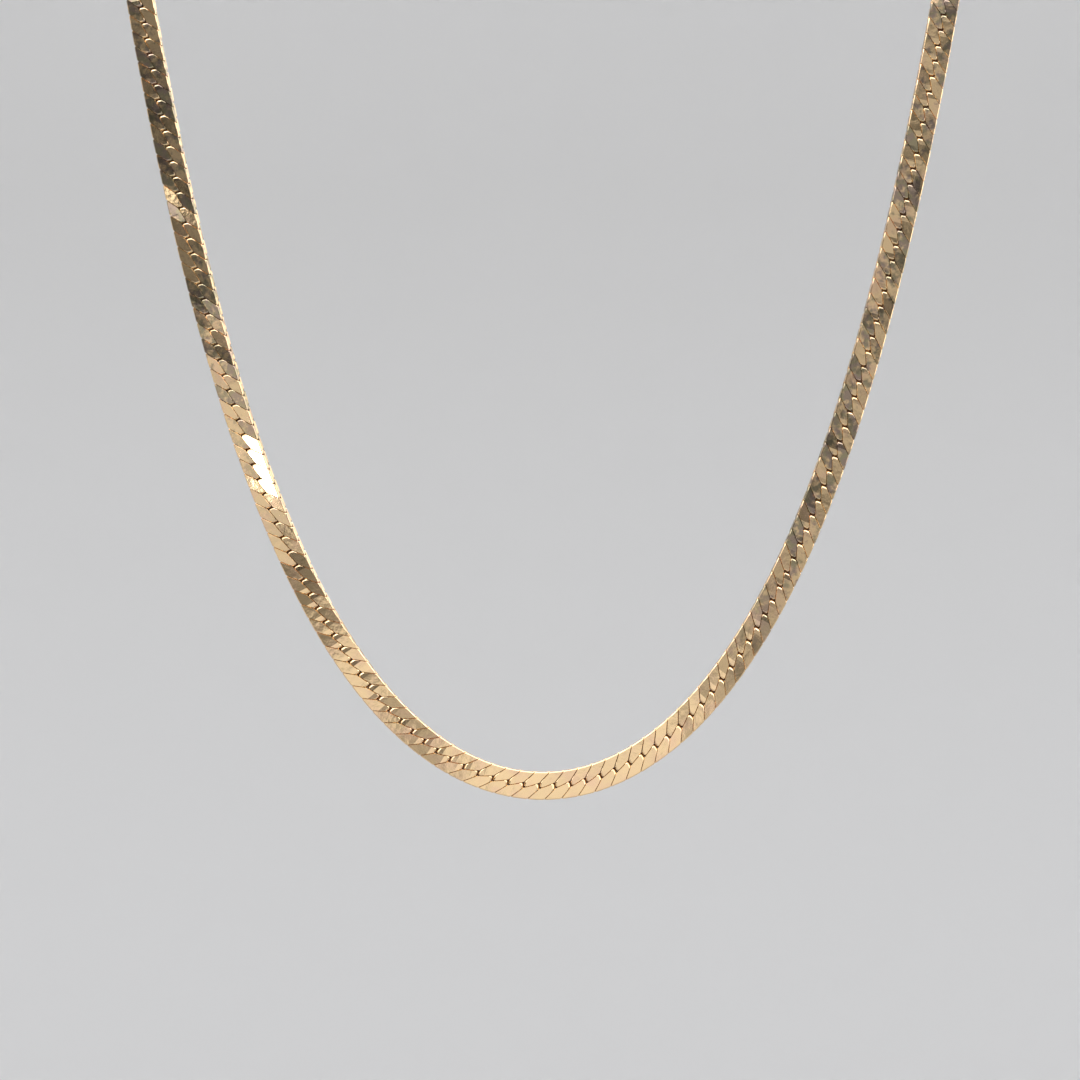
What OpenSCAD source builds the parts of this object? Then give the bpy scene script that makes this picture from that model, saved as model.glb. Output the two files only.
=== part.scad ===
// Herringbone chain necklace of flattened, interlocking curb links, closed into one loop.
// It hangs from the nape: the origin is the inner face of the clasp, +Z is up,
// -Y is the front of the neck, and the low U of the chain lies in a vertical plane.

/* [Necklace] */
// Length of the closed necklace along its middle line, clasp included
chain_length = 508; // [500:1:516]
// Width across the flat band
band_w = 4; // [3.8:0.1:4.2]
// Thickness of the band
band_t = 1.1; // [1:0.05:1.2]
// Step from one slot to the next along the band
pitch = 2.24; // [2.2:0.01:2.3]
// Place of the lowest slot beside the lowest point, as a share of the pitch
slot_phase = -0.24; // [-0.3:0.02:0.3]

/* [Hanging curve] */
// Radius of the catenary at its lowest point
sag_radius = 23.6; // [22:0.1:25]
// Length of one side of the flat front curve, up from its lowest point
front_side = 132; // [128:1:136]
// Backward pull of the neck stretch
neck_back = 1.32; // [1.25:0.01:1.4]
// Upward pull of the neck stretch
neck_up = 0.05; // [0:0.01:0.1]
// Slope of the band's face at the nape, above the horizontal
nape_slope = 50; // [45:1:55]
// Strongest outward lean of the band's face on the left arm
left_lean = 24; // [0:1:26]
// Strongest outward lean of the band's face on the right arm
right_lean = 7; // [0:1:20]

/* [Leaves] */
// Half the height of a slot across the band
slot_half = 0.4; // [0.35:0.01:0.45]
// Width of a slot along the band
slot_w = 0.24; // [0.2:0.01:0.3]
// Lean of the leaves, along the band for each unit across it
leaf_lean = 1; // [0.95:0.01:1.05]
// Clearance between neighbouring leaves
leaf_gap = 0.14; // [0.12:0.01:0.16]
// Clearance between the front leaves and the back leaves of crossing links
mid_gap = 0.26; // [0.24:0.01:0.3]

/* [Clasp] */
// Space kept for the clasp between the last slots of the chain
clasp_space = 12; // [11:0.5:13]
// Length of the clasp's body
clasp_body_l = 8.2; // [7.6:0.1:8.4]
// Thickness of the clasp's body
clasp_t = 1.8; // [1.6:0.1:2]
// Length of the collar between the body and each end link
collar_l = 2.6; // [2.4:0.1:3]
// Width of the collar
collar_w = 3.2; // [2.6:0.1:3.4]

/* [Hidden] */
gold = [0.86, 0.72, 0.48];
edge_y = band_w / 2;
leaf_run = (edge_y - slot_half) * leaf_lean;
side_length = chain_length / 2;
last_link = floor((side_length - clasp_space / 2) / pitch);
// A post between the front and back leaves sits this much inside both outlines
post_inset = 0.03;
// A post reaches this far into the front and back leaves
post_bite = 0.15;
neck_length = side_length - front_side;
neck_steps = 120;
neck_step = neck_length / neck_steps;
shoulder_face = [0.56, -0.4, 0.16];
nape_face = [0, cos(nape_slope), sin(nape_slope)];
probe = 0.5;

function unit(v) = v / norm(v);
function asinh(v) = ln(v + sqrt(v * v + 1));
function flip_x(v) = [-v.x, v.y, v.z];
function blend(a, b, c, t) = (1 - t) * (1 - t) * a + 2 * t * (1 - t) * b + t * t * c;

// Front curve: a catenary, at distance s from its lowest point
function front_point(s) =
    [sag_radius * asinh(s / sag_radius), 0, norm([sag_radius, s]) - sag_radius];
function front_dir(s) = unit([sag_radius, 0, s]);

// Neck stretch: the direction swings from the arm, through the back, to the nape
function neck_dir(t, pull) =
    unit(blend(front_dir(front_side), [pull, neck_back, neck_up], [-1, 0, 0], t));
function nape_x(pull) = front_point(front_side).x
    + neck_step * [for (i = [0 : neck_steps - 1]) 1]
      * [for (i = [0 : neck_steps - 1]) neck_dir((i + 0.5) / neck_steps, pull).x];
// Sideways pull at which both halves meet in the middle of the nape, by secant steps
function closing_pull(a, b, rounds) = let (gap_a = nape_x(a), gap_b = nape_x(b))
    rounds == 0 || abs(gap_b) < 0.001 ? b
        : closing_pull(b, b - gap_b * (b - a) / (gap_b - gap_a), rounds - 1);
neck_pull = closing_pull(-0.3, -0.2, 6);
neck_points = [for (i = 0, q = front_point(front_side); i <= neck_steps;
    q = q + neck_step * neck_dir((i + 0.5) / neck_steps, neck_pull), i = i + 1) q];

function neck_share(s) = (s - front_side) / neck_length;
function neck_point(s) =
    let (v = neck_share(s) * neck_steps, i = min(floor(v), neck_steps - 1))
    neck_points[i] + (v - i) * (neck_points[i + 1] - neck_points[i]);

// Right half of the loop, s from 0 to side_length
function side_point(s) = s <= front_side ? front_point(s) : neck_point(s);
function side_dir(s) = s <= front_side ? front_dir(s) : neck_dir(neck_share(s), neck_pull);
function level_face(s) =
    let (d = side_dir(s),
         f = s <= front_side ? [0, -1, 0]
             : blend([0, -1, 0], shoulder_face, nape_face, neck_share(s)))
    unit(f - (f * d) * d);
// Share of a side's outward lean. Columns: s up the side, share of the lean there.
lean_table = [[0, 0], [30, 0.1], [60, 0.9], [80, 1], [110, 0.6], [140, 0.4], [190, 0]];
function lean_share(s) = lookup(s - 6, lean_table) / 4 + lookup(s, lean_table) / 2
    + lookup(s + 6, lean_table) / 4;
function side_face(s, lean) =
    let (f = level_face(s), angle = lean * lean_share(s))
    cos(angle) * f - sin(angle) * cross(f, side_dir(s));

// Whole loop, s from -side_length to side_length. The left half mirrors the right, but
// for its lean.
function mid_point(s) = s < 0 ? flip_x(side_point(-s)) : side_point(s);
function along(s) = s < 0 ? -flip_x(side_dir(-s)) : side_dir(s);
function face(s) = s < 0 ? flip_x(side_face(-s, left_lean)) : side_face(s, right_lean);
// Bend of the band in its own plane, towards the inside of the loop, in 1/mm
function flat_bend(s) =
    (along(s + probe) - along(s - probe)) * cross(face(s), along(s)) / (2 * probe);

origin_at = mid_point(side_length) - nape_face * clasp_t / 2;

// Puts its children on the band at s: X along it, Y to the loop's inside, Z out of its face
module on_band(s) {
    x = along(s);
    z = face(s);
    y = cross(z, x);
    q = mid_point(s) - origin_at;
    multmatrix([[x.x, y.x, z.x, q.x], [x.y, y.y, z.y, q.y], [x.z, y.z, z.z, q.z]])
        children();
}

// Bends a flat point to the in-plane curve of the band
function bent(q, bend) = let (turn = bend * q.x * 180 / PI, r = 1 / bend - q.y)
    [r * sin(turn), 1 / bend - r * cos(turn)];

// Corner at which edges a-b and b-c meet once each is moved inward by its own inset
function inner_corner(a, b, c, inset_ab, inset_bc) =
    let (u = unit(b - a), v = unit(c - b),
         p = a + inset_ab * [-u.y, u.x], q = b + inset_bc * [-v.y, v.x])
    p + u * cross(v, p - q) / cross(u, v);
// Counter-clockwise outline with edge i, from corner i to the next, moved in by insets[i]
function inset_outline(corners, insets) =
    let (n = len(corners))
    [for (i = [0 : n - 1]) inner_corner(corners[(i + n - 1) % n], corners[i],
        corners[(i + 1) % n], insets[(i + n - 1) % n], insets[i])];

// One leaf of a link, from the slot at its left end up to the inner edge of the band.
// Columns: x, y, inset of the edge that starts at this corner.
half_gap = leaf_gap / 2;
leaf_table = [
    [-pitch, -slot_half, half_gap],
    [0, slot_half, half_gap],
    [leaf_run, edge_y, 0],
    [leaf_run - pitch, edge_y, half_gap],
    [-pitch, slot_half, slot_w / 2]];
leaf_outline = inset_outline(
    [for (row = leaf_table) [row[0], row[1]]], [for (row = leaf_table) row[2]]);

// Posts join a front leaf and a back leaf where they cross: at the edge and at the end
post_gap = half_gap + post_inset;
crossing_y = slot_half + pitch / 2 / leaf_lean;
edge_post = inset_outline(
    [[0, slot_half], [pitch / 2, crossing_y], [pitch - leaf_run, edge_y],
     [leaf_run - pitch, edge_y], [-pitch / 2, crossing_y]],
    [post_gap, post_gap, post_inset, post_gap, post_gap]);
end_post = inset_outline(
    [[-pitch, -slot_half], [-pitch / 2, 0], [-pitch, slot_half]],
    [post_gap, post_gap, slot_w / 2 + post_inset]);

// Slab over an outline, mirrored by the signs, bent to the band, between two heights
module slab(outline, signs, bend, low, high) {
    translate([0, 0, low])
        linear_extrude(height = high - low)
            polygon([for (q = outline) bent([signs.x * q.x, signs.y * q.y], bend)]);
}

// One link: two front leaves and two back leaves, joined by posts into a closed ring
module link(s) {
    bend = flat_bend(s);
    post_half_h = mid_gap / 2 + post_bite;
    on_band(s) union() {
        for (turn = [1, -1]) {
            slab(leaf_outline, [turn, turn], bend, mid_gap / 2, band_t / 2);
            slab(leaf_outline, [turn, -turn], bend, -band_t / 2, -mid_gap / 2);
            slab(edge_post, [1, turn], bend, -post_half_h, post_half_h);
            slab(end_post, [turn, 1], bend, -post_half_h, post_half_h);
        }
    }
}

function link_s(i) = (i + slot_phase) * pitch;

module chain_left() color(gold) {
    for (i = [-last_link : 0]) link(link_s(i));
}

module chain_right() color(gold) {
    for (i = [1 : last_link]) link(link_s(i));
}

// Plain closed clasp: a rounded flat body with an end link soldered on by a collar
module clasp() color(gold) union() {
    on_band(side_length) translate([0, 0, -clasp_t / 2]) linear_extrude(height = clasp_t) {
        square([clasp_body_l - band_w, band_w], center = true);
        for (end = [-1, 1])
            translate([end * (clasp_body_l - band_w) / 2, 0]) circle(d = band_w, $fn = 64);
    }
    for (end = [-1, 1]) {
        end_s = link_s(end * (last_link + 1));
        link(end_s);
        on_band(end_s)
            translate([end * (slot_w / 2 + collar_l / 2), 0, 0])
                cube([collar_l, collar_w, band_t], center = true);
    }
}

chain_left();
chain_right();
clasp();
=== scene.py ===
"""The looks of a gold herringbone chain necklace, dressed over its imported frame."""

import logging
import math
from dataclasses import dataclass, field
from enum import Enum
from typing import Callable, Sequence

import bpy
import numpy as np
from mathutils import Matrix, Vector


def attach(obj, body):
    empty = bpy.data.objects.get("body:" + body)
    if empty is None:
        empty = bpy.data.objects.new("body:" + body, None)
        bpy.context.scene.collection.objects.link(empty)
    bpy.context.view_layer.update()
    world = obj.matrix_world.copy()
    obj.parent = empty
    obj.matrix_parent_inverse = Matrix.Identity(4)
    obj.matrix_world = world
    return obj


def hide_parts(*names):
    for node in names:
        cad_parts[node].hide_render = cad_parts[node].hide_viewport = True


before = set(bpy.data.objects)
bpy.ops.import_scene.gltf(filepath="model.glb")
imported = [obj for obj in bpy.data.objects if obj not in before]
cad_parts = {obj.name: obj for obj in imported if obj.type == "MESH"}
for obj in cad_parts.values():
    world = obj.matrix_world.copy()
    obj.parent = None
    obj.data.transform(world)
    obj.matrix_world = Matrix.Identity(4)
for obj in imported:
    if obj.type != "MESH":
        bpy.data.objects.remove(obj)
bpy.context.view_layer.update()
LOG = logging.getLogger("necklace")
# The chain's own sizes are in millimetres, and all others in metres
MM = 0.001
# Points of a mesh that lie closer than this count as one place
SAME_PLACE = 1e-4
# A cut takes a point that lies closer to it than this as its own
CUT_REACH = 1e-6
# Faces that meet at a flatter angle than this are shaded as one
SMOOTH_DEG = 20.0
# Number of the last loose link on each side of link 0
LAST_LINK = 110
# Which way along the band each of the leaves in Turn runs from its slot
FROM_SLOT = (1, -1, 1, -1)


class Half(Enum):
    """The two halves of the chain, by the name of the solid that each replaces."""

    LEFT = "chain_left"
    RIGHT = "chain_right"


class Turn(Enum):
    """Axis of the half turn that brings a link's first front leaf to each of its places."""

    FRONT_INNER = ""
    FRONT_OUTER = "Z"
    BACK_OUTER = "X"
    BACK_INNER = "Y"


def clear_selection() -> None:
    """Leaves edit mode and deselects every object."""
    if bpy.context.mode != "OBJECT":
        bpy.ops.object.mode_set(mode="OBJECT")
    bpy.ops.object.select_all(action="DESELECT")


def select_only(piece: bpy.types.Object) -> None:
    """Selects one object alone and makes it the active one.

    Args:
        piece: The object to select.
    """
    clear_selection()
    piece.select_set(True)
    bpy.context.view_layer.objects.active = piece


def select_points(piece: bpy.types.Object, chosen: Callable[[Vector], bool]) -> None:
    """Leaves a piece in edit mode with the points selected that pass a test.

    Args:
        piece: The object whose points are tested.
        chosen: Test on a point's place.
    """
    select_only(piece)
    bpy.ops.object.mode_set(mode="EDIT")
    bpy.ops.mesh.select_mode(type="VERT")
    bpy.ops.mesh.select_all(action="DESELECT")
    bpy.ops.object.mode_set(mode="OBJECT")
    for point in piece.data.vertices:
        point.select = chosen(point.co)
    bpy.ops.object.mode_set(mode="EDIT")


def twin(piece: bpy.types.Object, name: str) -> bpy.types.Object:
    """Copies an object with a mesh of its own.

    Args:
        piece: The object to copy.
        name: Name of the copy.

    Returns:
        The copy, in the same collection.
    """
    copy = piece.copy()
    copy.data = piece.data.copy()
    copy.name = name
    bpy.context.collection.objects.link(copy)
    return copy


def join_all(pieces: Sequence[bpy.types.Object], name: str) -> bpy.types.Object:
    """Joins objects into the first of them.

    Args:
        pieces: The objects to join.
        name: Name of the joined object.

    Returns:
        The joined object.
    """
    select_only(pieces[0])
    for piece in pieces:
        piece.select_set(True)
    bpy.ops.object.join()
    pieces[0].name = name
    pieces[0].data.name = name
    return pieces[0]


def points_of(mesh: bpy.types.Mesh) -> np.ndarray:
    """Reads a mesh's points.

    Args:
        mesh: The mesh to read.

    Returns:
        One row of x, y and z for each point.
    """
    flat = np.empty(3 * len(mesh.vertices), np.float32)
    mesh.vertices.foreach_get("co", flat)
    return flat.reshape(-1, 3).astype(float)


def apply_modifier(piece: bpy.types.Object, kind: str, **settings: object) -> None:
    """Adds a modifier with these settings and applies it at once.

    Args:
        piece: The object that gets the modifier.
        kind: Blender's name for the kind of modifier.
        settings: Values for the modifier's own properties.
    """
    select_only(piece)
    step = piece.modifiers.new(kind.title(), kind)
    for name, value in settings.items():
        setattr(step, name, value)
    bpy.ops.object.modifier_apply(modifier=step.name)


def unit_rows(rows: np.ndarray) -> np.ndarray:
    """Scales each row to length one.

    Args:
        rows: An array of vectors, one a row.

    Returns:
        The same vectors at length one.
    """
    return rows / np.linalg.norm(rows, axis=1, keepdims=True)


@dataclass(frozen=True)
class NeckCurve:
    """The middle line and the face of the band, all round the neck, in millimetres.

    Distance s runs from the lowest point of the U, positive up the right arm and negative
    up the left one, and meets itself at the clasp.
    """

    chain_length: float = 508.0
    sag_radius: float = 23.6
    front_side: float = 132.0
    neck_back: float = 1.32
    neck_up: float = 0.05
    nape_slope: float = 50.0
    left_lean: float = 24.0
    right_lean: float = 7.0
    clasp_t: float = 1.8
    shoulder_face: tuple[float, float, float] = (0.56, -0.4, 0.16)
    lean_table: tuple[tuple[float, float], ...] = (
        (0, 0), (30, 0.1), (60, 0.9), (80, 1), (110, 0.6), (140, 0.4), (190, 0))
    lean_blur: float = 6.0
    neck_steps: int = 120
    first_pulls: tuple[float, float] = (-0.3, -0.2)
    meet_within: float = 0.001

    @property
    def side_length(self) -> float:
        """Length of one side, from the lowest point to the nape."""
        return self.chain_length / 2

    @property
    def nape_face(self) -> np.ndarray:
        """Outward direction of the band's face at the nape."""
        slope = math.radians(self.nape_slope)
        return np.array([0.0, math.cos(slope), math.sin(slope)])

    def front_dir(self, s: np.ndarray) -> np.ndarray:
        """Direction of the catenary at distances s up one side."""
        return unit_rows(np.stack([np.full_like(s, self.sag_radius), 0 * s, s], axis=1))

    def blend(self, start: Sequence[float], pull: Sequence[float], end: Sequence[float],
              share: np.ndarray) -> np.ndarray:
        """Swings from one vector to another, pulled towards a third on the way.

        Args:
            start: Vector at share 0.
            pull: Vector that pulls most half way.
            end: Vector at share 1.
            share: How far along each result lies, 0 to 1.

        Returns:
            One vector for each share.
        """
        t = share[:, None]
        return ((1 - t) ** 2 * np.asarray(start) + 2 * t * (1 - t) * np.asarray(pull)
                + t ** 2 * np.asarray(end))

    def neck_dir(self, share: np.ndarray, pull: float) -> np.ndarray:
        """Works out the direction of the neck stretch.

        Args:
            share: Shares of the stretch's length, from the arm's top to the nape.
            pull: Sideways pull on the stretch.

        Returns:
            One direction for each share.
        """
        start = self.front_dir(np.array([self.front_side]))[0]
        return unit_rows(self.blend(start, (pull, self.neck_back, self.neck_up),
                                    (-1.0, 0.0, 0.0), share))

    def front_point(self, s: np.ndarray) -> np.ndarray:
        """Place on the catenary at distances s up one side."""
        a = self.sag_radius
        return np.stack([a * np.arcsinh(s / a), 0 * s, np.hypot(a, s) - a], axis=1)

    def neck_points(self, pull: float) -> np.ndarray:
        """Walks up the neck stretch in equal steps.

        Args:
            pull: Sideways pull on the stretch.

        Returns:
            The stretch's corners, from the arm's top to the nape.
        """
        step = (self.side_length - self.front_side) / self.neck_steps
        middle = (np.arange(self.neck_steps) + 0.5) / self.neck_steps
        start = self.front_point(np.array([self.front_side]))
        return np.concatenate(
            [start, start + np.cumsum(step * self.neck_dir(middle, pull), axis=0)])

    def closing_pull(self) -> float:
        """Finds the sideways pull that closes the necklace, by secant steps.

        Returns:
            The pull at which both halves meet in the middle of the nape.
        """
        a, b = self.first_pulls
        gap_a, gap_b = (self.neck_points(pull)[-1, 0] for pull in self.first_pulls)
        while abs(gap_b) > self.meet_within:
            a, b, gap_a = b, b - gap_b * (b - a) / (gap_b - gap_a), gap_b
            gap_b = self.neck_points(b)[-1, 0]
        return b

    def neck_share(self, s: np.ndarray) -> np.ndarray:
        """How far up the neck stretch each s lies, from 0 to 1."""
        return (s - self.front_side) / (self.side_length - self.front_side)

    def lean_share(self, s: np.ndarray) -> np.ndarray:
        """Reads the smoothed table of the outward lean.

        Args:
            s: Distances up one side.

        Returns:
            Share of that side's outward lean at each distance.
        """
        at, share = np.array(self.lean_table, float).T
        return sum(weight * np.interp(s + shift, at, share) for shift, weight in (
            (-self.lean_blur, 0.25), (0, 0.5), (self.lean_blur, 0.25)))

    def stations(self, s: np.ndarray) -> tuple[np.ndarray, ...]:
        """Place, direction, inward side and face of the band at signed distances s.

        Args:
            s: Distances in millimetres, in any order.

        Returns:
            Four arrays of vectors, one row for each distance.
        """
        up = np.abs(s)
        pull = self.closing_pull()
        corners = self.neck_points(pull)
        in_front = up <= self.front_side
        share = np.clip(self.neck_share(up), 0, 1)
        at = share * self.neck_steps
        neck = np.stack([np.interp(at, np.arange(len(corners)), corners[:, k])
                         for k in range(3)], axis=1)
        place = np.where(in_front[:, None], self.front_point(up), neck)
        along = np.where(in_front[:, None], self.front_dir(up), self.neck_dir(share, pull))
        face = self.blend((0.0, -1.0, 0.0), self.shoulder_face, self.nape_face, share)
        face = unit_rows(face - (face * along).sum(axis=1, keepdims=True) * along)
        lean = np.radians(np.where(s < 0, self.left_lean, self.right_lean)
                          * self.lean_share(up))[:, None]
        face = np.cos(lean) * face - np.sin(lean) * np.cross(face, along)
        mirrored = (s < 0)[:, None]
        place = np.where(mirrored, place * (-1, 1, 1), place)
        along = np.where(mirrored, along * (1, -1, -1), along)
        face = np.where(mirrored, face * (-1, 1, 1), face)
        nape = corners[-1] * (0, 1, 1) - self.nape_face * self.clasp_t / 2
        return place - nape, along, np.cross(face, along), face

    def flat_bend(self, s: np.ndarray) -> np.ndarray:
        """Measures the bend of the band in its own plane.

        Args:
            s: Signed distances in millimetres.

        Returns:
            The bend at each distance, in 1/mm.
        """
        probe = 0.5
        swing = self.stations(s + probe)[1] - self.stations(s - probe)[1]
        return (swing * self.stations(s)[2]).sum(axis=1) / (2 * probe)

    def lay_rigid(self, s: np.ndarray, shapes: np.ndarray, bent: bool) -> np.ndarray:
        """Lays one shape at each distance s, unbent out of the band's plane.

        Args:
            s: Signed distances of the shapes' middles, in millimetres.
            shapes: Points of each shape as x along, y across and z out, in millimetres.
            bent: Whether each shape follows the bend of the band in its plane.

        Returns:
            The points of each shape in the row's frame, in metres.
        """
        place, along, across, face = (rows[:, None] for rows in self.stations(s))
        x, y, z = (shapes[..., k] for k in range(3))
        if bent:
            bend = self.flat_bend(s)[:, None]
            half_turn = bend * x / 2
            y, x = (y * np.cos(2 * half_turn) + x * np.sinc(half_turn / np.pi) * np.sin(half_turn),
                    (1 - bend * y) * x * np.sinc(2 * half_turn / np.pi))
        return (place + x[..., None] * along + y[..., None] * across + z[..., None] * face) * MM


@dataclass(frozen=True)
class Corner:
    """A corner of an outline, with what becomes of it and of the side after it."""

    x: float
    y: float
    inset: float
    cut: float = 0.0
    cut_steps: int = 0


@dataclass(frozen=True)
class LeafShape:
    """Sizes of the leaves that a link is rolled flat into, in millimetres."""

    pitch: float = 2.24
    band_w: float = 4.0
    band_t: float = 1.1
    slot_half: float = 0.4
    slot_w: float = 0.15
    leaf_gap: float = 0.018
    mid_gap: float = 0.04
    tip_round: float = 0.34
    edge_round: float = 0.36
    heel_round: float = 0.1
    slot_round: float = 0.08
    tip_rim: float = 0.25
    edge_rim: float = 0.15
    seam_rim: float = 0.05
    foot_rim: float = 0.06
    foot_facing: float = 0.9
    tip_len: float = 0.92
    tip_slope: float = 3.0
    rim_steps: int = 2
    rim_profile: float = 0.38
    rim_spread_up: float = 43.0
    rim_spread_down: float = 108.0
    rim_spread_edge: float = 44.0
    post_inset: float = 0.015
    post_bite: float = 0.12
    end_gap: float = 0.001
    pocket_len: float = 0.36
    pocket_drop: float = 0.08

    @property
    def edge_y(self) -> float:
        """Half the width of the band."""
        return self.band_w / 2

    @property
    def leaf_run(self) -> float:
        """How far a leaf runs along the band on its way from slot to edge."""
        return self.edge_y - self.slot_half

    def leaf_outline(self) -> list[Corner]:
        """Lists the corners of the first front leaf.

        Returns:
            The corners, counter-clockwise from the lower end of its slot.
        """
        half = self.leaf_gap / 2
        return [Corner(-self.pitch, -self.slot_half, half, self.tip_round, 3),
                Corner(0.0, self.slot_half, half),
                Corner(self.leaf_run, self.edge_y, 0.0, self.edge_round, 2),
                Corner(self.leaf_run - self.pitch, self.edge_y, half, self.heel_round, 1),
                Corner(self.pocket_len - self.pitch, self.slot_half + self.pocket_len, 0.0),
                Corner(-self.pitch, self.slot_half - self.pocket_drop, self.slot_w / 2,
                       self.slot_round, 1)]

    def edge_post(self) -> list[Corner]:
        """Lists the corners of the post inside the turn at the band's edge.

        Returns:
            The corners, counter-clockwise.
        """
        gap = self.leaf_gap / 2 + self.post_inset
        half = self.pitch / 2
        high = self.slot_half + half
        turn = self.pitch - self.leaf_run
        return [Corner(0.0, self.slot_half, gap), Corner(half, high, gap),
                Corner(turn, self.edge_y, 3 * self.post_inset),
                Corner(-turn, self.edge_y, gap), Corner(-half, high, gap)]

    def end_post(self) -> list[Corner]:
        """Lists the corners of the post inside the turn at a slot, which all but closes it.

        Returns:
            The corners, counter-clockwise.
        """
        gap = self.leaf_gap / 2 + self.post_inset
        return [Corner(-self.pitch, -self.slot_half, gap), Corner(-self.pitch / 2, 0.0, gap),
                Corner(-self.pitch, self.slot_half, self.end_gap / 2)]


@dataclass
class LinkModel:
    """One flattened link, modelled once on the flat band and then copied."""

    shape: LeafShape = field(default_factory=LeafShape)

    def plate(self, name: str, corners: Sequence[Corner], low: float,
              high: float) -> bpy.types.Object:
        """Cuts a plate to an outline, rounds its corners and gives it its thickness.

        Args:
            name: Name of the new object.
            corners: Counter-clockwise corners.
            low: Lower face of the plate.
            high: Upper face of the plate.

        Returns:
            The plate, a closed prism.
        """
        clear_selection()
        bpy.ops.mesh.primitive_plane_add(size=3 * self.shape.band_w, location=(0, 0, high))
        plate = bpy.context.active_object
        plate.name = name
        bpy.ops.object.transform_apply(location=True)
        bpy.ops.object.mode_set(mode="EDIT")
        for corner, after in zip(corners, [*corners[1:], corners[0]]):
            way = Vector((after.x - corner.x, after.y - corner.y, 0)).normalized()
            out = Vector((way.y, -way.x, 0))
            start = Vector((corner.x, corner.y, high))
            bpy.ops.mesh.select_all(action="SELECT")
            bpy.ops.mesh.bisect(plane_co=start - corner.inset * out, plane_no=out,
                                clear_outer=True, threshold=CUT_REACH)
        for corner in (corner for corner in corners if corner.cut_steps):
            at = Vector((corner.x, corner.y, high))
            bpy.ops.object.mode_set(mode="OBJECT")
            nearest = min((point.co for point in plate.data.vertices),
                          key=lambda place: (place - at).length).copy()
            select_points(plate, lambda place: (place - nearest).length < SAME_PLACE)
            bpy.ops.mesh.bevel(offset=corner.cut, segments=corner.cut_steps, affect="VERTICES")
        bpy.ops.mesh.select_all(action="SELECT")
        bpy.ops.mesh.extrude_region_move(
            TRANSFORM_OT_translate={"value": (0, 0, low - high)})
        bpy.ops.mesh.select_all(action="SELECT")
        bpy.ops.mesh.normals_make_consistent(inside=False)
        bpy.ops.object.mode_set(mode="OBJECT")
        return plate

    def rim_width(self, out: Vector) -> float:
        """Tells how wide the rim is rounded where a side of the leaf faces this way.

        Args:
            out: Outward direction of the side, in the band's plane.

        Returns:
            The rim's width in millimetres.
        """
        shape = self.shape
        from_tip = math.degrees(Vector((-1, 0)).angle(out))
        from_edge = math.degrees(Vector((0, 1)).angle(out))
        spread = shape.rim_spread_up if out.y > 0 else shape.rim_spread_down
        tip_share = max(0.0, 1 - from_tip / spread)
        edge_share = max(0.0, 1 - from_edge / shape.rim_spread_edge)
        return (shape.seam_rim + (shape.tip_rim - shape.seam_rim) * tip_share ** 0.5
                + (shape.edge_rim - shape.seam_rim) * edge_share ** 0.5)

    def weigh_rims(self, leaf: bpy.types.Object) -> float:
        """Gives each rim of a leaf its own bevel weight.

        Args:
            leaf: The leaf, still a plain plate.

        Returns:
            The width that a weight of one stands for.
        """
        mesh = leaf.data
        widest = max(self.shape.tip_rim, self.shape.edge_rim)
        middle = sum((point.co for point in mesh.vertices), Vector()) / len(mesh.vertices)
        weights = mesh.attributes.new("bevel_weight_edge", "FLOAT", "EDGE")
        for edge in mesh.edges:
            start, end = (mesh.vertices[i].co for i in edge.vertices)
            if abs(start.z - end.z) > SAME_PLACE:
                continue
            out = Vector((end.y - start.y, start.x - end.x)).normalized()
            if out.dot(((start + end) / 2 - middle).xy) < 0:
                out = -out
            if start.z > self.shape.mid_gap:
                weights.data[edge.index].value = self.rim_width(out) / widest
            elif out.y > self.shape.foot_facing:
                weights.data[edge.index].value = self.shape.foot_rim / widest
        return widest

    def slope_tip(self, leaf: bpy.types.Object) -> None:
        """Lets the leaf's end dip towards its slot, with a crisp line where the dip starts.

        Args:
            leaf: The leaf, with its rims rounded.
        """
        shape = self.shape
        start = shape.tip_len - shape.pitch
        select_points(leaf, lambda place: True)
        bpy.ops.mesh.bisect(plane_co=(start, 0, 0), plane_no=(1, 0, 0),
                            threshold=CUT_REACH)
        bpy.ops.mesh.mark_sharp()
        select_points(leaf, lambda place: place.x < start and place.z > shape.band_t / 4)
        bpy.ops.transform.rotate(value=math.radians(shape.tip_slope), orient_axis="Y",
                                 center_override=(start, 0, shape.band_t / 2))
        bpy.ops.object.mode_set(mode="OBJECT")

    def leaf(self) -> bpy.types.Object:
        """Models the first front leaf: a plate with rounded rims and a dipping end.

        Returns:
            The leaf on the flat band, in millimetres.
        """
        shape = self.shape
        leaf = self.plate("leaf", shape.leaf_outline(), shape.mid_gap / 2, shape.band_t / 2)
        widest = self.weigh_rims(leaf)
        apply_modifier(leaf, "BEVEL", width=widest, segments=shape.rim_steps,
                       limit_method="WEIGHT", profile=shape.rim_profile,
                       use_clamp_overlap=False)
        self.slope_tip(leaf)
        return leaf

    def turned(self, piece: bpy.types.Object, turn: Turn) -> bpy.types.Object:
        """Copies a piece to another of its places in the link.

        Args:
            piece: The piece in its first place.
            turn: The half turn that brings the copy there.

        Returns:
            The copy.
        """
        copy = twin(piece, piece.name + "_" + turn.name.lower())
        select_only(copy)
        bpy.ops.transform.rotate(value=math.pi, orient_axis=turn.value,
                                 center_override=(0, 0, 0))
        bpy.ops.object.transform_apply(location=True, rotation=True, scale=True)
        return copy

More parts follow.
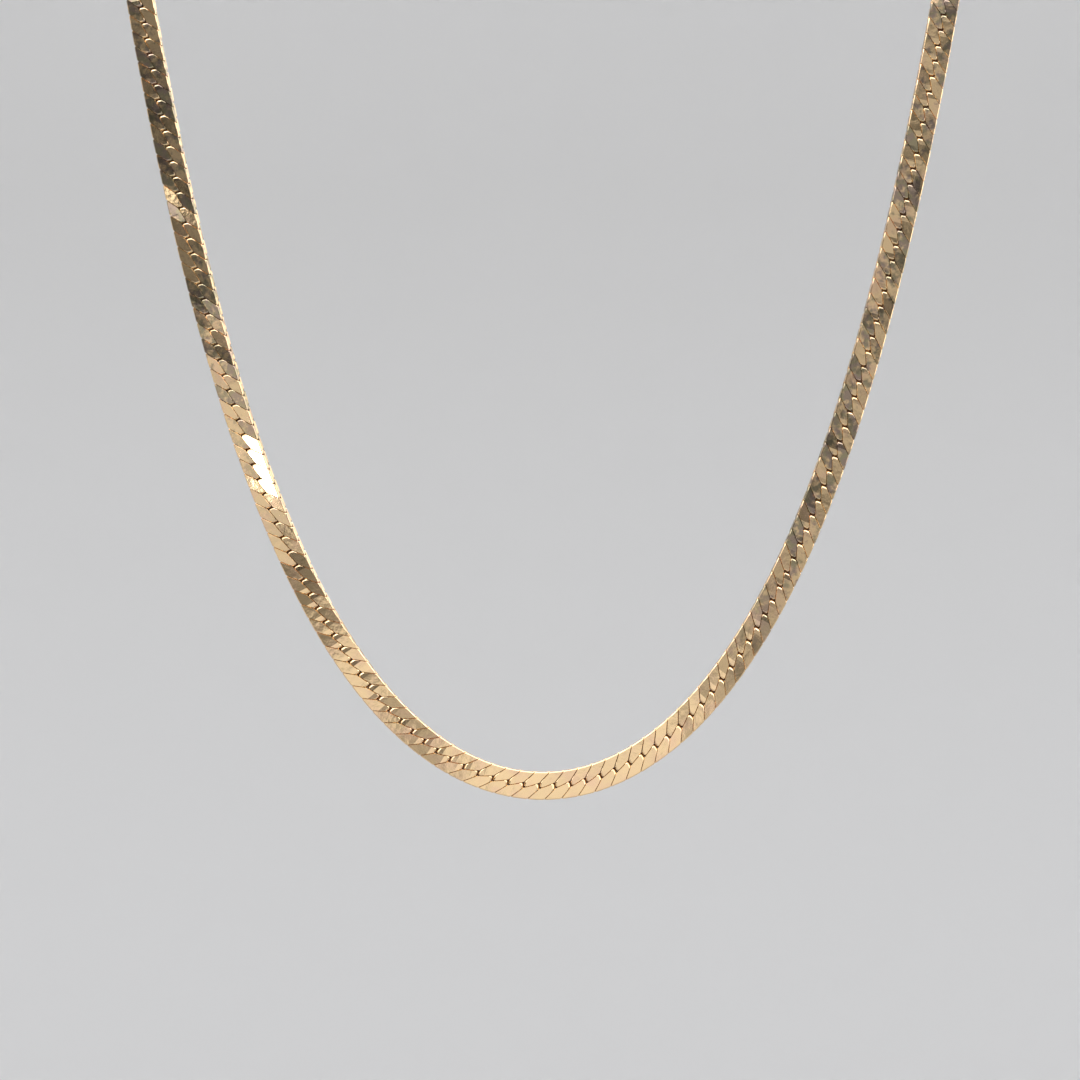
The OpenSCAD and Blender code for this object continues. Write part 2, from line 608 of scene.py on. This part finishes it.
    def build(self) -> bpy.types.Object:
        """Models the whole link: two front leaves, two back leaves and four posts.

        Returns:
            The link on the flat band, in millimetres.
        """
        shape = self.shape
        leaf = self.leaf()
        reach = shape.mid_gap / 2 + shape.post_bite
        posts = [self.plate("edge_post", shape.edge_post(), -reach, reach),
                 self.plate("end_post", shape.end_post(), -reach, reach)]
        turns = [turn for turn in Turn if turn.value]
        parts = [leaf, *(self.turned(leaf, turn) for turn in turns), *posts,
                 *(self.turned(post, Turn.FRONT_OUTER) for post in posts)]
        link = parts[0]
        for part in parts[1:]:
            apply_modifier(link, "BOOLEAN", operation="UNION", object=part, solver="EXACT")
            bpy.data.objects.remove(part)
        link.name = "link"
        return link

    def leaf_of(self, flat: np.ndarray) -> np.ndarray:
        """Tells which leaf each point of the link belongs to.

        Args:
            flat: The link's points on the flat band.

        Returns:
            The place of each point's leaf in Turn.
        """
        shape = self.shape
        slant = np.where(flat[:, 2] > 0, 2, -2) * shape.slot_half / shape.pitch
        inner = flat[:, 1] > slant * flat[:, 0]
        return np.select([flat[:, 2] > 0, ~inner], [np.where(inner, 0, 1), 2], 3)


@dataclass
class ChainHalf:
    """One half of the chain: a row of links laid along the curve and joined."""

    half: Half
    first: int
    last: int
    seed: int
    curve: NeckCurve
    model: LinkModel
    slot_phase: float = -0.24
    tilt_deg: float = 1.1
    tilt_most: float = 2.2
    fold_deg: float = 1.1
    calm_share: float = 0.15
    calm_reach: float = 80.0
    flat_stretches: tuple[tuple[float, float], ...] = ((-122.0, -46.0), (-12.0, 30.0))
    flat_fade: float = 6.0
    scratch_shift: float = 9.0
    seam_top: float = 0.5
    seam_fade: float = 0.25
    bright_edge: float = 0.1

    def link_places(self) -> np.ndarray:
        """Signed distance of each link's middle along the band, in millimetres."""
        return (np.arange(self.first, self.last + 1) + self.slot_phase) * self.model.shape.pitch

    def flat_share(self, s: np.ndarray) -> np.ndarray:
        """How far the dipping ends of the leaves are worn flat at distances s."""
        inside = [np.minimum(s - start, end - s) for start, end in self.flat_stretches]
        return np.clip(np.max(inside, axis=0) / self.flat_fade, 0, 1)

    def worn(self, flat: np.ndarray, leaf: np.ndarray, tilt: np.ndarray,
             flattened: np.ndarray) -> np.ndarray:
        """Tips the leaves of each link, each about its middle, and flattens their ends.

        Args:
            flat: The link's points on the flat band.
            leaf: The leaf that each point belongs to.
            tilt: Slope along and across the band, for each link and leaf.
            flattened: Share of the leaf ends' dip that is taken back, for each link.

        Returns:
            The points of every link.
        """
        shape = self.model.shape
        middles = np.stack([flat[leaf == k].mean(axis=0) for k in range(len(Turn))])
        away = (flat - middles[leaf])[:, :2]
        inward = shape.tip_len - shape.pitch - flat[:, 0] * np.array(FROM_SLOT)[leaf]
        dip = np.maximum(0, inward) * math.tan(math.radians(shape.tip_slope))
        lift = (tilt[:, leaf] * away).sum(axis=2) + (
            flattened[:, None] * dip * np.sign(flat[:, 2]))
        links = np.repeat(flat[None], len(tilt), axis=0)
        links[..., 2] += lift * (np.abs(flat[:, 2]) > shape.band_t / 4)
        return links

    def seam_depth(self, flat: np.ndarray) -> np.ndarray:
        """Tells how deep each point lies in a seam or slot, which sets the painted shade there.

        Args:
            flat: The link's points on the flat band.

        Returns:
            A share for each point: 0 on the faces, 1 deep down.
        """
        shape = self.model.shape
        sunk = 1 - np.abs(flat[:, 2]) / (shape.band_t / 2)
        inside = np.abs(flat[:, 1]) < shape.edge_y - self.bright_edge
        return np.clip((sunk - self.seam_top) / self.seam_fade, 0, 1) * inside

    def build(self, link: bpy.types.Object) -> bpy.types.Object:
        """Lays a copy of the link at each of its places and joins them.

        Args:
            link: The link on the flat band.

        Returns:
            The half chain, one piece.
        """
        draw = np.random.default_rng(self.seed)
        flat = points_of(link.data)
        leaf = self.model.leaf_of(flat)
        s = self.link_places()
        most = math.radians(self.tilt_most)
        tilt = draw.normal(0, math.radians(self.tilt_deg), (len(s), len(Turn), 2))
        tilt = np.clip(tilt, -most, most)
        tilt[..., 1] -= math.radians(self.fold_deg) * np.array(FROM_SLOT)
        calm = np.minimum(1, self.calm_share + np.abs(s) / self.calm_reach)
        tilt *= calm[:, None, None]
        worn = self.worn(flat, leaf, tilt, self.flat_share(s))
        laid = self.curve.lay_rigid(s, worn, True)
        tone = draw.random((len(s), len(Turn), 4))
        # Mask of the painted shade in the seams and slots
        seam = self.seam_depth(flat)
        shift = draw.uniform(-self.scratch_shift, self.scratch_shift, (len(s), len(Turn), 2))
        corner = np.empty(len(link.data.loops), np.int32)
        link.data.loops.foreach_get("vertex_index", corner)
        copies = []
        for i in range(len(s)):
            copy = twin(link, f"link_{self.first + i}")
            mesh = copy.data
            mesh.vertices.foreach_set("co", laid[i].ravel())
            mesh.attributes.new("tone", "FLOAT_COLOR", "POINT").data.foreach_set(
                "color", tone[i][leaf].ravel())
            mesh.attributes.new("seam", "FLOAT", "POINT").data.foreach_set("value", seam)
            mesh.uv_layers.new(name="band").uv.foreach_set(
                "vector", (flat[:, :2] + shift[i][leaf])[corner].ravel())
            copies.append(copy)
        return join_all(copies, self.half.value + "_links")


@dataclass
class Clasp:
    """The closed clasp at the nape: a smooth body with a collar and a link at each end."""

    curve: NeckCurve
    model: LinkModel
    body_l: float = 8.2
    body_t: float = 1.8
    collar_l: float = 2.6
    collar_w: float = 3.2
    slot_w: float = 0.24
    rim: float = 0.42
    rim_steps: int = 4
    end_flat: float = 0.02
    body_steps: int = 12
    collar_corner: float = 0.3
    collar_rim: float = 0.2
    collar_steps: int = 3

    def block(self, name: str, length: float, width: float, height: float, corner: float,
              rim: float, steps: int) -> bpy.types.Object:
        """Models a block with rounded corners and rims.

        Args:
            name: Name of the new object.
            length: Its length along the band.
            width: Its width across the band.
            height: Its thickness.
            corner: Radius of its corners in plan.
            rim: Radius of its rims.
            steps: Faces round each corner.

        Returns:
            The block on the flat band, in millimetres.
        """
        clear_selection()
        bpy.ops.mesh.primitive_cube_add(size=1, scale=(length, width, height))
        block = bpy.context.active_object
        block.name = name
        bpy.ops.object.transform_apply(scale=True)
        for radius, segments, on_rims in ((corner, steps, False), (rim, self.rim_steps, True)):
            mesh = block.data
            weights = (mesh.attributes.get("bevel_weight_edge")
                       or mesh.attributes.new("bevel_weight_edge", "FLOAT", "EDGE"))
            for edge in mesh.edges:
                start, end = (mesh.vertices[i].co for i in edge.vertices)
                level = abs(start.z - end.z) < SAME_PLACE
                weights.data[edge.index].value = float(level == on_rims)
            apply_modifier(block, "BEVEL", width=radius, segments=segments,
                           limit_method="WEIGHT", use_clamp_overlap=False)
        return block

    def build(self, link: bpy.types.Object, last_link: int, slot_phase: float) -> bpy.types.Object:
        """Models the clasp and seats it between the last links.

        Args:
            link: The link on the flat band.
            last_link: Number of the last loose link on each side.
            slot_phase: Place of link 0 beside the lowest point, as a share of the pitch.

        Returns:
            The clasp, one piece.
        """
        shape = self.model.shape
        body = self.block("clasp_body", self.body_l, shape.band_w, self.body_t,
                          (shape.band_w - self.end_flat) / 2, self.rim, self.body_steps)
        parts = [(body, self.curve.side_length, 0.0)]
        for end in (-1, 1):
            at = (end * (last_link + 1) + slot_phase) * shape.pitch
            collar = self.block("collar", self.collar_l, self.collar_w, shape.band_t,
                                self.collar_corner, self.collar_rim, self.collar_steps)
            parts.append((collar, at, end * (self.slot_w + self.collar_l) / 2))
            parts.append((twin(link, "end_link"), at, 0.0))
        for part, at, shift in parts:
            points = points_of(part.data) + (shift, 0.0, 0.0)
            bent = part.name.startswith("end_link")
            laid = self.curve.lay_rigid(np.array([at]), points[None], bent)
            part.data.vertices.foreach_set("co", laid[0].ravel())
            part.data.uv_layers.new(name="band").uv.foreach_set(
                "vector", points[[loop.vertex_index for loop in part.data.loops], :2].ravel())
        return join_all([part for part, _, _ in parts], "clasp_closed")


class NodeSheet:
    """A material's node tree, written as short calls."""

    def __init__(self, name: str) -> None:
        """Starts an empty material.

        Args:
            name: Name of the material.
        """
        self.material = bpy.data.materials.new(name)
        self.material.use_nodes = True
        self.tree = self.material.node_tree
        self.tree.nodes.clear()

    def add(self, kind: str, inputs: dict[str | int, object] | None = None,
            **settings: object) -> bpy.types.Node:
        """Adds a node.

        Args:
            kind: Blender's name of the node, without its ShaderNode prefix.
            inputs: Values or sockets for its inputs, by name or number.
            settings: Values for its own properties.

        Returns:
            The node.
        """
        node = self.tree.nodes.new("ShaderNode" + kind)
        for name, value in settings.items():
            setattr(node, name, value)
        for key, value in (inputs or {}).items():
            if isinstance(value, bpy.types.NodeSocket):
                self.tree.links.new(value, node.inputs[key])
            else:
                node.inputs[key].default_value = value
        return node

    def math(self, operation: str, a: object, b: object = 0.0,
             c: object = 0.0) -> bpy.types.NodeSocket:
        """Works out a value from up to three others."""
        return self.add("Math", {0: a, 1: b, 2: c}, operation=operation).outputs[0]

    def mix(self, share: object, a: object, b: object, how: str = "MIX") -> bpy.types.NodeSocket:
        """Mixes two colours.

        Args:
            share: Share of the second colour.
            a: The first colour, a socket or an RGB triple.
            b: The second colour, likewise.
            how: Blender's name for the way of mixing.

        Returns:
            The mixed colour.
        """
        sides = {key: (*side, 1.0) if isinstance(side, tuple) else side
                 for key, side in ((6, a), (7, b))}
        return self.add("Mix", {0: share, **sides}, data_type="RGBA",
                        blend_type=how).outputs[2]

    def noise(self, vector: bpy.types.NodeSocket, scale: float, detail: float = 2.0,
              roughness: float = 0.5) -> bpy.types.NodeSocket:
        """Reads a noise at this scale, from 0 to 1."""
        return self.add("TexNoise", {"Vector": vector, "Scale": scale, "Detail": detail,
                                     "Roughness": roughness}).outputs["Fac"]

    def step(self, value: bpy.types.NodeSocket, low: float, high: float) -> bpy.types.NodeSocket:
        """Turns a value into a soft step from 0 at low to 1 at high."""
        return self.add("MapRange", {"Value": value, "From Min": low, "From Max": high},
                        interpolation_type="SMOOTHSTEP").outputs[0]

    def ramp(self, value: bpy.types.NodeSocket, start: float, end: float, low: float,
             high: float) -> bpy.types.NodeSocket:
        """Leads a value evenly from low at start to high at end."""
        return self.add("MapRange", {"Value": value, "From Min": start, "From Max": end,
                                     "To Min": low, "To Max": high}).outputs[0]

    def finish(self, shader: bpy.types.Node) -> bpy.types.Material:
        """Joins the shader to the output and hands the material over."""
        self.add("OutputMaterial", {"Surface": shader.outputs[0]})
        return self.material


@dataclass(frozen=True)
class WornGold:
    """Pale gold, rolled flat, with fine scratches, mottled tarnish partly painted as dark
    reflection, and painted seam shade.
    """

    name: str
    clean: tuple[float, float, float] = (0.905, 0.665, 0.39)
    rosy: tuple[float, float, float] = (0.88, 0.585, 0.41)
    olive: tuple[float, float, float] = (0.27, 0.26, 0.18)
    plum: tuple[float, float, float] = (0.28, 0.225, 0.215)
    # Painted shade: dark brown laid into the seams and slots, where they lie in shadow
    seam_shade_colour: tuple[float, float, float] = (0.16, 0.075, 0.035)
    leaf_share: float = 0.42
    # Mottle of tarnish and painted dark reflection: its share up the arms, the heights where it
    # rises, and its least share
    stain_and_reflection_most: float = 0.74
    tarnish_and_reflection_low: float = -0.146
    tarnish_and_reflection_high: float = -0.112
    tarnish_and_reflection_tilt: float = 0.35
    stain_and_reflection_least: float = 0.04
    stain_and_reflection_step: tuple[float, float] = (0.44, 0.56)
    patch_scale: float = 900.0
    patch_rough: float = 0.55
    patch_step: tuple[float, float] = (0.44, 0.66)
    tone_scale: float = 420.0
    rosy_step: tuple[float, float] = (0.45, 0.7)
    rosy_most: float = 0.6
    dull: float = 0.82
    dull_most: float = 0.35
    rough_low: float = 0.04
    rough_span: float = 0.1
    seam_rough: float = 0.6
    wave_scale: float = 900.0
    wave_height: float = 0.000014
    scratch_stretch: tuple[float, float, float] = (0.5, 14.0, 1.0)
    scratch_turns: tuple[tuple[float, float], ...] = ((0.5, 0.0), (-0.9, 3.0), (1.9, 7.0))
    scratch_step: tuple[float, float] = (0.6, 0.72)
    scratch_height: float = 0.00000025
    with_tone_and_seam_shade: bool = True

    def colour(self, sheet: NodeSheet, place: bpy.types.NodeSocket) -> bpy.types.NodeSocket:
        """Colour of the clean face and of the tarnish, which partly stands for painted dark
        reflection, without the seams' painted shade.

        Args:
            sheet: The material's nodes.
            place: Place on the piece.

        Returns:
            The colour.
        """
        hue = sheet.step(sheet.noise(place, self.tone_scale, 3), *self.rosy_step)
        gold = sheet.mix(sheet.math("MULTIPLY", hue, self.rosy_most), self.clean, self.rosy)
        # Olive and plum mottle: partly tarnish, partly painted dark reflection
        stain_and_reflection = sheet.mix(sheet.step(sheet.noise(place, 2 * self.tone_scale, 2),
                                     *self.stain_and_reflection_step), self.olive, self.plum)
        across, _, height = sheet.add("SeparateXYZ", {0: place}).outputs
        # Painted darkening up the arms: partly tarnish, partly dark reflection
        up_arm = sheet.step(sheet.math("MULTIPLY_ADD", across, self.tarnish_and_reflection_tilt, height),
                            self.tarnish_and_reflection_low, self.tarnish_and_reflection_high)
        patch = sheet.noise(place, self.patch_scale, 3, self.patch_rough)
        if self.with_tone_and_seam_shade:
            tone = sheet.add("Attribute", attribute_name="tone").outputs["Color"]
            leaf = sheet.add("SeparateColor", {0: tone})
            patch = sheet.math("ADD", patch, sheet.math("MULTIPLY_ADD", leaf.outputs[0],
                                                        self.leaf_share, -self.leaf_share / 2))
            gold = sheet.mix(sheet.math("MULTIPLY", leaf.outputs[1], self.dull_most), gold,
                             tuple(self.dull * part for part in self.clean))
        share = sheet.math("MULTIPLY", sheet.step(patch, *self.patch_step),
                           sheet.math("MULTIPLY_ADD", up_arm, self.stain_and_reflection_most,
                                      self.stain_and_reflection_least))
        return sheet.mix(share, gold, stain_and_reflection)

    def material(self) -> bpy.types.Material:
        """Builds the material.

        Returns:
            The finished material.
        """
        sheet = NodeSheet(self.name)
        place = sheet.add("TexCoord").outputs["Object"]
        band = sheet.add("UVMap", uv_map="band").outputs[0]
        colour = self.colour(sheet, place)
        rough = sheet.noise(place, self.tone_scale, 2)
        roughness = sheet.math("MULTIPLY_ADD", rough, self.rough_span, self.rough_low)
        if self.with_tone_and_seam_shade:
            # Painted shade in the seams and slots, which also roughens them
            seam = sheet.add("Attribute", attribute_name="seam").outputs["Fac"]
            colour = sheet.mix(seam, colour, self.seam_shade_colour)
            roughness = sheet.math("MAXIMUM", roughness,
                                   sheet.math("MULTIPLY", seam, self.seam_rough))
        lines = []
        for turn, offset in self.scratch_turns:
            stretched = sheet.add("Mapping", {"Vector": band, "Location": (offset, offset, 0),
                                              "Rotation": (0, 0, turn),
                                              "Scale": self.scratch_stretch}).outputs[0]
            lines.append(sheet.step(sheet.noise(stretched, 1.0, 3), *self.scratch_step))
        scratches = sheet.math("ADD", sheet.math("ADD", lines[0], lines[1]), lines[2])
        wave = sheet.noise(place, self.wave_scale, 2)
        broad = sheet.add("Bump", {"Strength": 1.0, "Distance": self.wave_height,
                                   "Height": wave})
        fine = sheet.add("Bump", {"Strength": 1.0, "Distance": self.scratch_height,
                                  "Height": scratches, "Normal": broad.outputs[0]})
        shader = sheet.add("BsdfPrincipled", {
            "Base Color": colour, "Metallic": 1.0, "Roughness": roughness,
            "Normal": fine.outputs[0]})
        return sheet.finish(shader)


@dataclass(frozen=True)
class StudioPaper:
    """Matt pale paper of the floor and the walls round it."""

    colour: tuple[float, float, float] = (0.82, 0.81, 0.79)

    def material(self) -> bpy.types.Material:
        """Builds the material."""
        sheet = NodeSheet("studio_paper")
        return sheet.finish(sheet.add("BsdfDiffuse", {"Color": (*self.colour, 1.0)}))


@dataclass(frozen=True)
class DappledScreen:
    """Screen before the chain that the gold mirrors: bright low down, dappled above.

    The bright part ends on the right at right_x. Its upper rim is level to bend_x, falls
    from there to the left, and is level again from far_x on. A dappled bar crosses it.
    """

    bright: float = 1.04
    light: float = 0.58
    dark: float = 0.12
    left_share: float = 0.45
    far_share: float = 0.74
    right_x: float = 0.085
    bend_x: float = -0.1
    far_x: float = -0.51
    rim_z: float = -0.188
    far_z: float = -0.225
    below: float = -1.0
    rim_slope: float = 0.45
    bar_x: float = -0.0725
    bar_half: float = 0.029
    bar_share: float = 1.0
    blur: float = 0.008
    far_blur: float = 0.03
    patch_scale: float = 15.0
    patch_rough: float = 0.55
    patch_step: tuple[float, float] = (0.36, 0.56)
    upper_fade: tuple[float, float] = (-0.05, -0.2)
    lower_fade: tuple[float, float] = (-0.1, -0.7)
    colour: tuple[float, float, float] = (1.0, 0.99, 0.97)

    def bright_rim(self, sheet: NodeSheet, across: bpy.types.NodeSocket) -> bpy.types.NodeSocket:
        """Works out the height of the bright part's upper rim.

        Args:
            sheet: The material's nodes.
            across: Place across the screen.

        Returns:
            The rim's height there.
        """
        bend = sheet.math("MINIMUM", sheet.math("SUBTRACT", across, self.bend_x), 0.0)
        rim = sheet.math("MULTIPLY_ADD", bend, self.rim_slope, self.rim_z)
        far = sheet.ramp(across, self.far_x + self.far_blur, self.far_x - self.far_blur,
                         self.below, self.far_z)
        return sheet.math("MAXIMUM", rim, far)

    def glow(self, sheet: NodeSheet) -> bpy.types.NodeSocket:
        """Works out how bright the screen is at each place.

        Args:
            sheet: The material's nodes.

        Returns:
            The strength of its light.
        """
        place = sheet.add("TexCoord").outputs["Object"]
        across, _, height = sheet.add("SeparateXYZ", {0: place}).outputs
        patch = sheet.step(sheet.noise(place, self.patch_scale, 3, self.patch_rough),
                           *self.patch_step)
        left = sheet.ramp(across, *self.upper_fade, 1.0, self.left_share)
        upper = sheet.math("MULTIPLY", left, sheet.math(
            "MULTIPLY_ADD", patch, self.light - self.dark, self.dark))
        lower = sheet.ramp(across, *self.lower_fade, self.bright, self.bright * self.far_share)
        above = sheet.ramp(sheet.math("SUBTRACT", height, self.bright_rim(sheet, across)),
                           -self.blur, self.blur, 0.0, 1.0)
        beside = sheet.ramp(across, self.right_x - self.blur, self.right_x + self.blur, 0.0, 1.0)
        off_bar = sheet.math("ABSOLUTE", sheet.math("SUBTRACT", across, self.bar_x))
        bar = sheet.ramp(off_bar, self.bar_half - self.blur, self.bar_half + self.blur,
                         self.bar_share, 0.0)
        share = sheet.math("MAXIMUM", sheet.math("MAXIMUM", above, beside), bar)
        return sheet.add("Mix", {0: share, 2: lower, 3: upper}, data_type="FLOAT").outputs[0]

    def material(self) -> bpy.types.Material:
        """Builds the material.

        Returns:
            The finished material, which the lamps' sampling passes over.
        """
        sheet = NodeSheet("dappled_screen")
        material = sheet.finish(sheet.add("Emission", {
            "Color": (*self.colour, 1.0), "Strength": self.glow(sheet)}))
        material.cycles.emission_sampling = "NONE"
        return material


@dataclass(frozen=True)
class Softbox:
    """A soft light seen from the chain: where it stands, how large and how bright it is."""

    name: str
    azimuth: float
    elevation: float
    distance: float
    width: float
    height: float
    radiance: float
    colour: tuple[float, float, float] = (1.0, 0.98, 0.95)


@dataclass
class Studio:
    """Pale bowl-shaped stage, soft lights, dappled screen and the camera."""

    aim: tuple[float, float, float] = (0.0, -0.0648, -0.12)
    floor_z: float = -0.45
    screen_x: float = -0.32
    screen_width: float = 1.66
    screen_height: float = 0.59
    screen_away: float = 0.72
    screen_gap: float = 0.01
    bowl_radius: float = 1.9
    bowl_round: float = 0.6
    bowl_top: float = 1.5
    bowl_sides: int = 96
    bowl_steps: int = 12
    floor_hem: float = 1.0001
    chain_y: float = -0.06475
    view_x: float = -0.00043
    view_z: float = -0.1257
    view_width: float = 0.15429
    lens_mm: float = 100.0
    sensor_mm: float = 36.0
    clip_start: float = 0.01
    room_colour: tuple[float, float, float] = (0.93, 0.95, 1.0)
    room_strength: float = 1.25
    bounces: int = 6
    diffuse_bounces: int = 2
    boxes: tuple[Softbox, ...] = (
        Softbox("top_light", 0, 60, 0.75, 1.3, 1.1, 1.8),
        Softbox("right_light", 66, 12, 0.85, 0.9, 0.8, 1.7),
        Softbox("left_light", -64, 26, 0.85, 0.7, 0.7, 1.4),
        Softbox("left_strip", -48.6, -10.3, 0.379, 0.024, 0.018, 10.0),
        Softbox("edge_light", 140, 17, 0.9, 0.7, 0.42, 0.95),
        Softbox("back_light", 180, 35, 1.1, 0.9, 0.5, 1.6),
    )

    def from_chain(self, azimuth: float, elevation: float, distance: float) -> Vector:
        """Finds a place round the chain.

        Args:
            azimuth: Bearing in degrees, 0 towards the camera and 90 to its right.
            elevation: Height above the level in degrees.
            distance: Distance from the chain in metres.

        Returns:
            The place.
        """
        turn, rise = math.radians(azimuth), math.radians(elevation)
        way = Vector((math.sin(turn) * math.cos(rise), -math.cos(turn) * math.cos(rise),
                      math.sin(rise)))
        return Vector(self.aim) + distance * way

    def stage(self) -> None:
        """Raises the floor's rim, ring by ring, into a rounded wall round the necklace.

        The floor keeps a narrow hem inside the wall, so that its shading stays level.
        """
        clear_selection()
        bpy.ops.mesh.primitive_circle_add(vertices=self.bowl_sides, radius=self.bowl_radius,
                                          location=(0, 0, self.floor_z), fill_type="NGON")
        bowl = bpy.context.active_object
        bowl.name = "studio_floor"
        bpy.ops.object.transform_apply(location=True)
        bpy.ops.object.mode_set(mode="EDIT")
        bpy.ops.mesh.select_all(action="SELECT")
        bpy.ops.mesh.inset(thickness=self.bowl_round)
        select_points(bowl, lambda place: place.xy.length > self.bowl_radius - SAME_PLACE)
        flat_r = self.bowl_radius - self.bowl_round
        hem = self.floor_hem * flat_r / self.bowl_radius
        bpy.ops.transform.resize(value=(hem, hem, 1), center_override=(0, 0, self.floor_z))
        radius, level = flat_r, self.floor_z
        for i in range(1, self.bowl_steps + 1):
            turn = math.radians(90 * i / self.bowl_steps)
            next_r = flat_r + self.bowl_round * math.sin(turn)
            next_z = self.floor_z + self.bowl_round * (1 - math.cos(turn))
            bpy.ops.mesh.extrude_edges_move(
                TRANSFORM_OT_translate={"value": (0, 0, next_z - level)})
            bpy.ops.transform.resize(value=(next_r / radius, next_r / radius, 1),
                                     center_override=(0, 0, next_z))
            radius, level = next_r, next_z
        bpy.ops.mesh.extrude_edges_move(
            TRANSFORM_OT_translate={"value": (0, 0, self.bowl_top - level)})
        bpy.ops.object.mode_set(mode="OBJECT")
        bpy.ops.object.shade_smooth()
        bowl.data.materials.append(StudioPaper().material())

    def screen(self) -> None:
        """Stands the dappled screen before the chain, where only the metal mirrors it."""
        clear_selection()
        bpy.ops.mesh.primitive_plane_add(size=1)
        card = bpy.context.active_object
        card.name = "dappled_screen"
        card.scale = (self.screen_width, self.screen_height, 1)
        card.rotation_euler = (math.radians(90), 0, 0)
        card.location = (self.screen_x, self.chain_y - self.screen_away,
                         self.floor_z + self.screen_gap + self.screen_height / 2)
        bpy.ops.object.transform_apply(location=True, rotation=True, scale=True)
        card.data.materials.append(DappledScreen().material())
        card.visible_camera = False
        card.visible_diffuse = False
        card.visible_shadow = False

    def light(self, box: Softbox, lit: bpy.types.Collection) -> None:
        """Hangs one softbox, turned towards the chain, that lights the chain alone.

        Args:
            box: The softbox to hang.
            lit: The pieces that it lights.
        """
        data = bpy.data.lights.new(box.name, "AREA")
        data.shape = "RECTANGLE"
        data.size, data.size_y = box.width, box.height
        data.energy = box.radiance * math.pi * box.width * box.height
        data.color = box.colour
        light = bpy.data.objects.new(box.name, data)
        bpy.context.collection.objects.link(light)
        light.location = self.from_chain(box.azimuth, box.elevation, box.distance)
        light.rotation_euler = (Vector(self.aim) - light.location).to_track_quat(
            "-Z", "Y").to_euler()
        light.visible_camera = False
        light.light_linking.receiver_collection = lit

    def camera(self) -> None:
        """Sets the camera level before the chain, where the photograph's stood."""
        data = bpy.data.cameras.new("camera")
        data.lens = self.lens_mm
        data.sensor_width = self.sensor_mm
        camera = bpy.data.objects.new("camera", data)
        bpy.context.collection.objects.link(camera)
        away = self.view_width * data.lens / data.sensor_width
        camera.location = (self.view_x, self.chain_y - away, self.view_z)
        camera.rotation_euler = (math.radians(90), 0, 0)
        data.clip_start = self.clip_start
        bpy.context.scene.camera = camera

    def build(self, pieces: Sequence[bpy.types.Object]) -> None:
        """Builds the stage, the screen, the lights, the camera and the room's even light.

        Args:
            pieces: The pieces of the necklace.
        """
        self.stage()
        self.screen()
        lit = bpy.data.collections.new("lit_pieces")
        for piece in pieces:
            lit.objects.link(piece)
        for box in self.boxes:
            self.light(box, lit)
        self.camera()
        world = bpy.data.worlds.new("room")
        world.use_nodes = True
        background = world.node_tree.nodes["Background"]
        background.inputs["Color"].default_value = (*self.room_colour, 1.0)
        background.inputs["Strength"].default_value = self.room_strength
        bpy.context.scene.world = world
        bpy.context.scene.view_settings.view_transform = "Standard"
        bpy.context.scene.cycles.max_bounces = self.bounces
        bpy.context.scene.cycles.diffuse_bounces = self.diffuse_bounces


def dress(piece: bpy.types.Object, node: str, finish: WornGold) -> None:
    """Gives a piece its finish and puts it in its solid's place.

    Args:
        piece: The finished mesh.
        node: Name of the solid that it replaces.
        finish: The finish that it wears.
    """
    select_only(piece)
    bpy.ops.object.shade_smooth_by_angle(angle=math.radians(SMOOTH_DEG))
    piece.data.materials.clear()
    piece.data.materials.append(finish.material())
    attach(piece, "root")
    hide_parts(node)
    triangles = sum(len(face.vertices) - 2 for face in piece.data.polygons)
    LOG.info("%s: %d faces, %d triangles, stands for %s", piece.name,
             len(piece.data.polygons), triangles, node)


def main() -> None:
    """Builds the necklace piece by piece, then the studio round it."""
    logging.basicConfig(level=logging.INFO, format="%(name)s: %(message)s")
    curve = NeckCurve()
    model = LinkModel()
    link = model.build()
    LOG.info("link: %d faces", len(link.data.polygons))
    halves = [ChainHalf(Half.LEFT, -LAST_LINK, 0, seed=5641, curve=curve, model=model),
              ChainHalf(Half.RIGHT, 1, LAST_LINK, seed=23, curve=curve, model=model)]
    pieces = [half.build(link) for half in halves]
    for half, piece in zip(halves, pieces):
        dress(piece, half.half.value, WornGold(half.half.value + "_gold"))
    pieces.append(Clasp(curve, model).build(link, LAST_LINK, halves[0].slot_phase))
    dress(pieces[-1], "clasp",
          WornGold("clasp_gold_finish", stain_and_reflection_most=0.3, with_tone_and_seam_shade=False))
    bpy.data.objects.remove(link)
    Studio().build(pieces)


if __name__ == "__main__":
    main()
